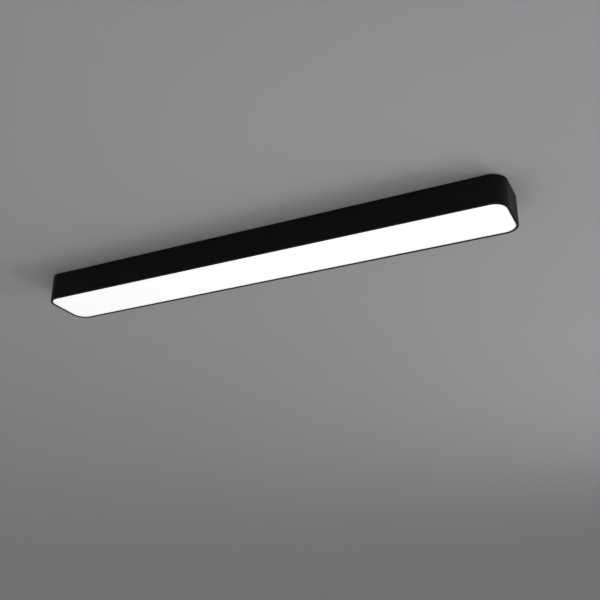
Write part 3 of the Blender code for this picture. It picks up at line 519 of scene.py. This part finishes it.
def plated_metal(name, dark, light, rough_low, rough_high, grain=1800.0, tint=None):
    """Plated or bare sheet metal, with rolling grain, cloudy plating and dulled patches."""
    material, tree, shader, place = new_material(name, Metallic=1.0)
    sheet = use(tree, ROLLED, place, Grain=grain)
    marks = use(tree, HANDLING, place, Smear=60.0)
    worn = use(tree, WEAR, place, Radius=0.0005, Break_Up=500.0, Amount=0.5)["Mask"]
    dust = use(tree, DUST, place, Amount=0.35, Patch=40.0)["Mask"]
    metal = blend_colours(tree, sheet["Tone"], rgb(*dark), rgb(*light))
    if tint:
        metal = blend_colours(tree, times(tree, marks["Smear"], 0.4), metal, rgb(*tint))
    metal = blend_colours(tree, worn, metal, rgb(0.86, 0.86, 0.85))
    metal = blend_colours(tree, dust, metal, rgb(0.42, 0.41, 0.39))
    rough = spread(tree, sheet["Tone"], 0.1, 0.9, rough_low, rough_high)
    rough = calc(tree, "ADD", rough, times(tree, marks["Smear"], 0.08))
    rough = calc(tree, "ADD", rough, times(tree, dust, 0.3))
    wire(tree, shader, Base_Color=metal, Roughness=rough)
    wire(tree, shader, Metallic=calc(tree, "SUBTRACT", 1.0, dust))
    wire(tree, shader, Normal=emboss(tree, sheet["Height"], 0.00003, 0.6))
    return material


def moulded_plastic(name, colour, rough=0.42, grain=3200.0, shift=0.12, depth=0.00004, level=0.4):
    """Moulded or extruded plastic: a fine skin, slow tone changes, scuffed edges and dust."""
    material, tree, shader, place = new_material(name, Specular_IOR_Level=level)
    skin = use(tree, MOULDED, place, Grain=grain)
    worn = use(tree, WEAR, place, Radius=0.0006, Break_Up=420.0, Amount=0.45)["Mask"]
    dust = use(tree, DUST, place, Amount=0.35, Patch=30.0)["Mask"]
    marks = use(tree, HANDLING, place, Smear=48.0)
    deep = [c * (1.0 - shift) for c in colour]
    pale = [min(0.95, c + 0.25 * (0.8 - c)) for c in colour]
    plastic = blend_colours(tree, skin["Tone"], rgb(*deep), rgb(*colour))
    plastic = blend_colours(tree, worn, plastic, rgb(*pale))
    plastic = blend_colours(tree, times(tree, marks["Scratches"], 0.35), plastic, rgb(*pale))
    plastic = blend_colours(tree, dust, plastic, rgb(0.40, 0.39, 0.37))
    roughness = spread(tree, skin["Tone"], 0.2, 0.8, rough - 0.05, rough + 0.07)
    roughness = calc(tree, "SUBTRACT", roughness, times(tree, marks["Smear"], 0.06))
    roughness = calc(tree, "ADD", roughness, times(tree, dust, 0.3))
    wire(tree, shader, Base_Color=plastic, Roughness=roughness)
    wire(tree, shader, Normal=emboss(tree, skin["Height"], depth, 0.6))
    return material


def grey_foam():
    """Open-cell foam strip: deep pores with painted shade in them, and a chalky face."""
    material, tree, shader, place = new_material("grey_foam_strip", Specular_IOR_Level=0.1)
    pores = put(tree, "ShaderNodeTexVoronoi", {"feature": "F1"}, Vector=place, Scale=1400.0)
    depth = spread(tree, pores.outputs["Distance"], 0.15, 0.55)
    patches = noise(tree, place, 70.0, 4.0)
    # Painted shade: the colour runs from near black in each pore to grey on the face.
    foam = blend_colours(tree, depth, rgb(0.07, 0.07, 0.072), rgb(0.27, 0.27, 0.275))
    foam = blend_colours(tree, times(tree, patches, 0.4), foam, rgb(0.33, 0.33, 0.33))
    wire(tree, shader, Base_Color=foam, Roughness=spread(tree, patches, 0.2, 0.8, 0.88, 0.98))
    wire(tree, shader, Normal=emboss(tree, depth, 0.0003))
    return material


def solder_mask(name, mask, track, board_edge):
    """A circuit board: copper tracks that show through the mask, and a bare cut edge."""
    material, tree, shader, place = new_material(name, Specular_IOR_Level=0.5)
    parts = put(tree, "ShaderNodeSeparateXYZ", None, Vector=place)
    bands = calc(tree, "PINGPONG", parts.outputs["Y"], HALF_TRACK_PITCH)
    steps = calc(tree, "PINGPONG", parts.outputs["X"], HALF_BREAK_PITCH)
    in_band, in_step = spread(tree, bands, 0.0009, 0.0011), spread(tree, steps, 0.0012, 0.0015)
    tracks = times(tree, in_band, in_step)
    tone = noise(tree, place, 55.0, 4.0)
    fine = noise(tree, place, 2600.0, 2.0)
    facing = put(tree, "ShaderNodeNewGeometry").outputs["True Normal"]
    upright = put(tree, "ShaderNodeSeparateXYZ", None, Vector=facing).outputs["Z"]
    side = spread(tree, calc(tree, "ABSOLUTE", upright), 0.6, 0.3)
    face = blend_colours(tree, tone, rgb(*[0.94 * c for c in mask]), rgb(*mask))
    face = blend_colours(tree, times(tree, tracks, 0.55), face, rgb(*track))
    face = blend_colours(tree, side, face, rgb(*board_edge))
    dullness = calc(tree, "ADD", tone, times(tree, side, 0.5))
    wire(tree, shader, Base_Color=face, Roughness=spread(tree, dullness, 0.2, 1.2, 0.30, 0.62))
    relief = calc(tree, "ADD", tracks, times(tree, fine, 0.12))
    wire(tree, shader, Normal=emboss(tree, relief, 0.00004, 0.7))
    return material


def lit_phosphor():
    """The window of a chip that is on: grainy amber under a warm glow."""
    material, tree, shader, place = new_material(
        "lit_chip_window", Emission_Strength=5.0, Roughness=0.35
    )
    grain = noise(tree, place, 9000.0, 2.0)
    amber = blend_colours(tree, grain, rgb(0.86, 0.62, 0.16), rgb(0.95, 0.78, 0.30))
    glow = blend_colours(tree, grain, rgb(1.0, 0.90, 0.70), rgb(1.0, 0.97, 0.88))
    wire(tree, shader, Base_Color=amber, Emission_Color=glow)
    wire(tree, shader, Normal=emboss(tree, grain, 0.00002, 0.5))
    return material


def wound_core():
    """A taped winding on a ferrite core, with painted shade in the grooves between its turns."""
    material, tree, shader, place = new_material("taped_winding", Specular_IOR_Level=0.5)
    bands = put(
        tree,
        "ShaderNodeTexWave",
        {"bands_direction": "Z"},
        Vector=place,
        Scale=420.0,
        Distortion=0.6,
    )
    turn_ridges_and_shade = bands.outputs["Fac"]
    tone = noise(tree, place, 120.0, 4.0)
    # Painted shade: the copper is darker in the grooves between the turns and full copper on their
    # crests.
    copper = blend_colours(tree, turn_ridges_and_shade, rgb(0.20, 0.08, 0.03), rgb(0.55, 0.27, 0.10))
    copper = blend_colours(tree, times(tree, tone, 0.4), copper, rgb(0.10, 0.09, 0.09))
    wire(tree, shader, Base_Color=copper, Roughness=spread(tree, tone, 0.2, 0.8, 0.35, 0.6))
    wire(tree, shader, Normal=emboss(tree, turn_ridges_and_shade, 0.0002, 0.8))
    return material


FINISHES = {
    "black_powder_coat": black_powder_coat(),
    "opal_acrylic": opal_acrylic(),
    "grey_foam": grey_foam(),
    "white_enamel": white_enamel(),
    "zinc_steel": plated_metal(
        "bright_zinc_plate", (0.48, 0.49, 0.50), (0.70, 0.71, 0.72), 0.26, 0.42
    ),
    "spring_steel": plated_metal(
        "blued_spring_steel",
        (0.30, 0.30, 0.31),
        (0.46, 0.46, 0.47),
        0.22,
        0.36,
        grain=2400.0,
        tint=(0.36, 0.30, 0.22),
    ),
    "tinned_copper": plated_metal(
        "bright_tin_plate", (0.58, 0.57, 0.54), (0.78, 0.77, 0.73), 0.2, 0.38
    ),
    "white_circuit_board": solder_mask(
        "white_solder_mask", (0.84, 0.84, 0.82), (0.70, 0.69, 0.64), (0.55, 0.50, 0.38)
    ),
    "green_circuit_board": solder_mask(
        "green_solder_mask", (0.03, 0.17, 0.06), (0.07, 0.30, 0.10), (0.45, 0.42, 0.25)
    ),
    "white_plastic": moulded_plastic("white_moulding", (0.78, 0.78, 0.76)),
    "grey_plastic": moulded_plastic("grey_moulding", (0.30, 0.31, 0.32)),
    "orange_plastic": moulded_plastic("orange_moulding", (0.80, 0.20, 0.02), 0.36),
    "black_rubber": moulded_plastic(
        "black_rubber", (0.022, 0.022, 0.023), 0.72, 1800.0, level=0.25
    ),
    "copper_and_ferrite": wound_core(),
    "capacitor_sleeve": moulded_plastic("blue_shrink_sleeve", (0.02, 0.04, 0.13), 0.3),
    "brown_lead": moulded_plastic("brown_insulation", (0.15, 0.055, 0.02), 0.34, 2200.0),
    "blue_lead": moulded_plastic("blue_insulation", (0.02, 0.07, 0.36), 0.34, 2200.0),
    "green_lead": moulded_plastic("green_insulation", (0.06, 0.33, 0.05), 0.34, 2200.0),
    "red_lead": moulded_plastic("red_insulation", (0.52, 0.02, 0.015), 0.34, 2200.0),
    "black_lead": moulded_plastic("black_insulation", (0.018, 0.018, 0.018), 0.34, 2200.0),
}
PHOSPHOR = lit_phosphor()
CHIP_BODY = moulded_plastic("chip_package", (0.80, 0.79, 0.74), 0.38, 6000.0)
RESISTOR = moulded_plastic("resistor_body", (0.03, 0.03, 0.032), 0.45, 6000.0)


# ---------------------------------------------------------------- housing
def make_housing_shell():
    """The black ring: rounded block, hollowed from above, its rim turned in round the window."""
    low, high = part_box("housing_ring")
    shell = new_block("housing_shell", low, high)
    round_uprights(shell, CORNER, 40)
    open_up(shell)
    pick(shell, "FACE", faces_up)
    bpy.ops.mesh.inset(thickness=WALL)
    push(low.z + RIM_SHEET - high.z)
    bpy.ops.mesh.inset(thickness=RIM_REACH - WALL)
    bpy.ops.mesh.delete(type="FACE")
    pick(shell, "FACE", faces_down)
    bpy.ops.mesh.inset(thickness=RIM_REACH)
    bpy.ops.mesh.delete(type="FACE")
    pick(shell, "EDGE", lambda edge: edge.is_boundary)
    bpy.ops.mesh.bridge_edge_loops()
    lowest = low.z + 0.1 * RIM_SHEET
    half_wall = 0.5 * WALL

    def reaches_out(edge):
        middle = (edge.verts[0].co + edge.verts[1].co) / 2
        x, y = abs(middle.x), abs(middle.y)
        centre = Vector((high.x - CORNER, high.y - CORNER))
        if x > centre.x and y > centre.y:
            return (Vector((x, y)) - centre).length > CORNER - half_wall
        return x > high.x - half_wall or y > high.y - half_wall

    def on_outer_rim(edge):
        level = all(v.co.z < lowest for v in edge.verts)
        beside_wall = any(abs(face.normal.z) < 0.1 for face in edge.link_faces)
        return level and beside_wall and reaches_out(edge)

    pick(shell, "EDGE", on_outer_rim)
    bpy.ops.mesh.bevel(offset=RIM_ROUNDING, offset_type="OFFSET", segments=3, profile=0.5)
    close_up()
    break_edges(shell, 0.00015)
    smooth(shell)
    return coat(fit(shell, "housing_ring"), FINISHES["black_powder_coat"])


def make_diffuser():
    """The opal pane, with round corners and softened edges."""
    low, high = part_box("diffuser")
    pane = new_block("diffuser_pane", low, high)
    round_uprights(pane, CORNER - WALL - DIFFUSER_PLAY, 32)
    break_edges(pane, 0.0004, 3)
    smooth(pane)
    return coat(fit(pane, "diffuser"), FINISHES["opal_acrylic"])


# ---------------------------------------------------------------- solids with their edges broken
def on_cut_end(edge):
    """Round a lead's flat cut end, the only faces with more than four sides."""
    return any(len(face.verts) > 4 for face in edge.link_faces)


def rounded_copy(node, width):
    """A solid's own shape with welded faces, broken edges and smooth rounds. A lead's bends are
    drawn out smooth, and its cut ends stay flat."""
    twin = copy_of(frame["nodes"][node], f"{node}_finished")
    is_lead = SLOT_OF[node].endswith("lead")
    open_up(twin)
    bpy.ops.mesh.customdata_custom_splitnormals_clear()
    bpy.ops.mesh.select_all(action="SELECT")
    bpy.ops.mesh.remove_doubles(threshold=0.000005)
    bpy.ops.mesh.dissolve_limited(angle_limit=math.radians(1.0))
    if is_lead:
        bpy.ops.mesh.select_all(action="SELECT")
        bpy.ops.mesh.tris_convert_to_quads(
            face_threshold=math.radians(60), shape_threshold=math.pi
        )
        pick(twin, "EDGE", on_cut_end)
        bpy.ops.mesh.bevel(offset=0.0002, offset_type="OFFSET", segments=1)
    close_up()
    if is_lead:
        apply_modifier(twin, "SUBSURF", levels=2)
    if width:
        break_edges(twin, width)
    smooth(twin)
    return coat(fit(twin, node), FINISHES[SLOT_OF[node]])


EDGE_WIDTHS = {
    "ceiling_plate": 0.0003,
    "diffuser_gasket": 0.0,
    "spring_clip": 0.00012,
    "end_bracket": 0.0003,
    "front_bracket": 0.0003,
    "rear_bracket": 0.0003,
    "driver_tub": 0.0004,
    "driver_lid": 0.0004,
    "driver_transformer": 0.0004,
    "driver_capacitor": 0.0,
    "driver_board": 0.00015,
    "selector_knob": 0.0001,
    "terminal_block": 0.0003,
    "strip_connector": 0.0002,
    "cable_clamp": 0.0003,
    "cable_grommet": 0.0,
    "earth_lug": 0.0001,
}


def edge_width(node):
    for start, width in EDGE_WIDTHS.items():
        if node.startswith(start):
            return width
    return 0.0002 if node.endswith("button") else 0.0


# ---------------------------------------------------------------- screws
def make_screw(length):
    """A pan-head screw with a cross recess. Its head hangs below the origin."""
    head = new_rod("pan_head", (0, 0, 0), (0, 0, -SCREW_HEAD_HEIGHT), SCREW_HEAD / 2, 40)
    open_up(head)
    pick(head, "FACE", faces_up)
    bpy.ops.mesh.inset(thickness=(SCREW_HEAD - SCREW_SHANK) / 2)
    push(length)
    pick(head, "EDGE", lambda edge: all(v.co.z < -0.9 * SCREW_HEAD_HEIGHT for v in edge.verts))
    dome = 0.6 * SCREW_HEAD_HEIGHT
    bpy.ops.mesh.bevel(offset=dome, offset_type="OFFSET", segments=6, profile=0.5)
    close_up()
    bottom = Vector((0, 0, -2 * SCREW_HEAD_HEIGHT))
    top = Vector((0, 0, -0.35 * SCREW_HEAD_HEIGHT))
    for x, y in ((RECESS_HALF_WIDTH, RECESS_REACH), (RECESS_REACH, RECESS_HALF_WIDTH)):
        reach = Vector((x, y, 0.0))
        cut(head, new_block("cross_recess", bottom - reach, top + reach))
    break_edges(head, 0.00008)
    smooth(head)
    return head


def make_screws():
    screws = sorted(node for node in SLOT_OF if "screw" in node)
    for number, node in enumerate(screws):
        low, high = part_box(node)
        master = make_screw(high.z - low.z - SCREW_HEAD_HEIGHT)
        centre = (low + high) / 2
        seat = (centre.x, centre.y, low.z + SCREW_HEAD_HEIGHT)
        screw = copy_of(master, f"{node}_finished", seat, SCREW_TURN * number)
        bpy.data.objects.remove(master)
        coat(fit(screw, node), FINISHES["zinc_steel"])


# ---------------------------------------------------------------- LED strips
def make_chip(low_z):
    """One LED: a white package with a lit window sunk into its face."""
    half = CHIP / 2
    chip = new_block("chip", (-half.x, -half.y, low_z), (half.x, half.y, low_z + CHIP.z))
    coat(chip, CHIP_BODY, PHOSPHOR)
    open_up(chip)
    pick(chip, "FACE", faces_down)
    bpy.ops.mesh.inset(thickness=WINDOW_INSET)
    chip.active_material_index = 1
    push(WINDOW_DEPTH)
    bpy.ops.object.material_slot_assign()
    close_up()
    return chip


def repeat(piece, count, step):
    apply_modifier(
        piece,
        "ARRAY",
        count=count,
        use_relative_offset=False,
        use_constant_offset=True,
        constant_offset_displace=(step, 0.0, 0.0),
    )


def make_strip(row, side):
    """A board with its screw holes, its chips and its resistors."""
    node = f"led_strip_{row}_{side}"
    low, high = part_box(node)
    board_low = high.z - BOARD_SHEET
    centre = (low + high) / 2
    board = new_block(f"{node}_board", (low.x, low.y, board_low), high)
    round_uprights(board, BOARD_CORNER, 3)
    for screw in (f"strip_screw_{row}_{side}_{end}" for end in ("inner", "outer")):
        s_low, s_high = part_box(screw)
        x, y = (s_low.x + s_high.x) / 2, (s_low.y + s_high.y) / 2
        below, above = (x, y, board_low - HOLE_OVERRUN), (x, y, high.z + HOLE_OVERRUN)
        cut(board, new_rod("hole", below, above, BOARD_HOLE / 2, 24))
    break_edges(board, 0.00012)
    smooth(board)
    coat(fit(board, node), FINISHES["white_circuit_board"])

    pitch = (high.x - low.x) / CHIPS_ON_BOARD
    start = (low.x + pitch / 2, centre.y, 0.0)
    master = make_chip(low.z)
    chips = copy_of(master, f"{node}_chips", start)
    bpy.data.objects.remove(master)
    repeat(chips, CHIPS_ON_BOARD, pitch)
    smooth(chips)
    add_to(chips, node)

    at = Vector((low.x + pitch, low.y + RESISTOR_OFFSET, board_low - RESISTOR_SIZE.z / 2))
    half = RESISTOR_SIZE / 2
    resistors = new_block(f"{node}_resistors", at - half, at + half)
    break_edges(resistors, 0.0001, 1)
    repeat(resistors, CHIPS_ON_BOARD // CHIPS_TO_RESISTOR, CHIPS_TO_RESISTOR * pitch)
    smooth(resistors)
    coat(add_to(resistors, node), RESISTOR)


# ---------------------------------------------------------------- everything on the object
def make_object():
    make_housing_shell()
    make_diffuser()
    make_screws()
    for row in ROWS:
        for side in SIDES:
            make_strip(row, side)
    for node in sorted(SLOT_OF):
        made_above = ("housing_ring", "diffuser")
        if node in made_above or "screw" in node or node.startswith("led_strip"):
            continue
        rounded_copy(node, edge_width(node))
    for node, solid in frame["nodes"].items():
        coat(solid, FINISHES[SLOT_OF[node]])


# ---------------------------------------------------------------- room, light and camera
def ceiling_paint():
    """Plain grey ceiling, clear from above. Lamplight passes it only over the ceiling plate."""
    material, tree, shader, place = new_material("plain_ceiling", Specular_IOR_Level=0.1)
    grain = noise(tree, place, 260.0, 4.0)
    tone = noise(tree, place, 1.2, 3.0)
    grey = blend_colours(tree, tone, rgb(0.50, 0.485, 0.51), rgb(0.53, 0.515, 0.54))
    wire(tree, shader, Base_Color=grey, Roughness=spread(tree, tone, 0.2, 0.8, 0.9, 0.96))
    wire(tree, shader, Normal=emboss(tree, grain, 0.0004, 0.15))
    _, plate_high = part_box("ceiling_plate")
    parts = put(tree, "ShaderNodeSeparateXYZ", None, Vector=place)
    over_x = calc(tree, "LESS_THAN", calc(tree, "ABSOLUTE", parts.outputs["X"]), plate_high.x)
    over_y = calc(tree, "LESS_THAN", calc(tree, "ABSOLUTE", parts.outputs["Y"]), plate_high.y)
    lamp_ray = put(tree, "ShaderNodeLightPath").outputs["Is Shadow Ray"]
    passes = times(tree, times(tree, over_x, over_y), lamp_ray)
    behind = put(tree, "ShaderNodeNewGeometry").outputs["Backfacing"]
    clear = put(tree, "ShaderNodeBsdfTransparent").outputs[0]
    share = calc(tree, "MAXIMUM", behind, passes)
    either = put(tree, "ShaderNodeMixShader", None, i0=share, i1=shader.outputs[0], i2=clear)
    tree.links.new(either.outputs[0], tree.nodes["Material Output"].inputs["Surface"])
    return material


def floor_paint():
    material, tree, shader, place = new_material("plain_pale_floor", Specular_IOR_Level=0.2)
    tone = noise(tree, place, 0.8, 3.0)
    pale = blend_colours(tree, tone, rgb(0.80, 0.80, 0.79), rgb(0.84, 0.84, 0.83))
    wire(tree, shader, Base_Color=pale, Roughness=spread(tree, tone, 0.2, 0.8, 0.6, 0.7))
    wire(tree, shader, Normal=emboss(tree, noise(tree, place, 180.0, 4.0), 0.0005, 0.2))
    return material


def make_ceiling():
    bpy.ops.object.select_all(action="DESELECT")
    at, facing_down = (0.0, 0.0, CEILING_Z), (math.pi, 0.0, 0.0)
    bpy.ops.mesh.primitive_plane_add(size=ROOM, location=at, rotation=facing_down)
    ceiling = bpy.context.object
    ceiling.name = "stage_ceiling"
    set_in_place(ceiling)
    coat(ceiling, ceiling_paint())


def make_floor():
    bpy.ops.object.select_all(action="DESELECT")
    bpy.ops.mesh.primitive_plane_add(size=ROOM, location=(0.0, 0.0, FLOOR_Z))
    floor = bpy.context.object
    floor.name = "stage_floor"
    coat(floor, floor_paint())


def make_lamp(name, at, aim, size, power, spread_angle=180.0):
    data = bpy.data.lights.new(name, "AREA")
    data.shape = "RECTANGLE"
    data.size, data.size_y = size
    data.energy = power
    data.spread = math.radians(spread_angle)
    lamp = bpy.data.objects.new(name, data)
    lamp.location = at
    lamp.rotation_euler = (Vector(aim) - Vector(at)).to_track_quat("-Z", "Y").to_euler()
    lamp.visible_camera = False
    bpy.context.scene.collection.objects.link(lamp)


def light_room():
    world = bpy.data.worlds.new("studio")
    world.use_nodes = True
    background = world.node_tree.nodes["Background"]
    background.inputs["Color"].default_value = rgb(0.90, 0.90, 0.92)
    background.inputs["Strength"].default_value = 0.50
    bpy.context.scene.world = world
    make_lamp("floor_wash", (0.0, 0.0, FLOOR_Z + 0.35), (0.0, 0.0, FLOOR_Z), (ROOM, ROOM), 1960.0)
    make_lamp("room_wash", (0.0, 0.0, FLOOR_Z + 0.30), (0.0, 0.0, 0.0), (24.0, 24.0), 10.0)
    make_lamp("key", (1.7, 2.2, -2.1), (0.4, -0.2, 0.0), (1.0, 1.0), 14.0)
    make_lamp("near_wash", (0.35, -0.42, -1.0), (0.35, -0.42, 0.0), (1.2, 0.5), 0.75)
    make_lamp("end_fill", (3.6, 1.6, -1.0), (0.5, 0.0, -0.1), (1.8, 1.2), 9.0, 90.0)
    make_lamp("back_light", (1.2, -1.0, 1.6), (0.0, 0.0, 0.0), (2.2, 2.2), 45.0)


def place_camera():
    data = bpy.data.cameras.new("camera")
    data.sensor_width = 36.0
    data.lens = 52.28
    data.clip_start, data.clip_end = 0.05, 80.0
    camera = bpy.data.objects.new("camera", data)
    camera.location = (0.9087, -1.6325, -0.9651)
    camera.rotation_euler = [math.radians(angle) for angle in (113.582, -0.479, 26.126)]
    bpy.context.scene.collection.objects.link(camera)
    bpy.context.scene.camera = camera


make_object()
make_ceiling()
make_floor()
light_room()
place_camera()
bpy.context.scene.view_settings.view_transform = "Standard"
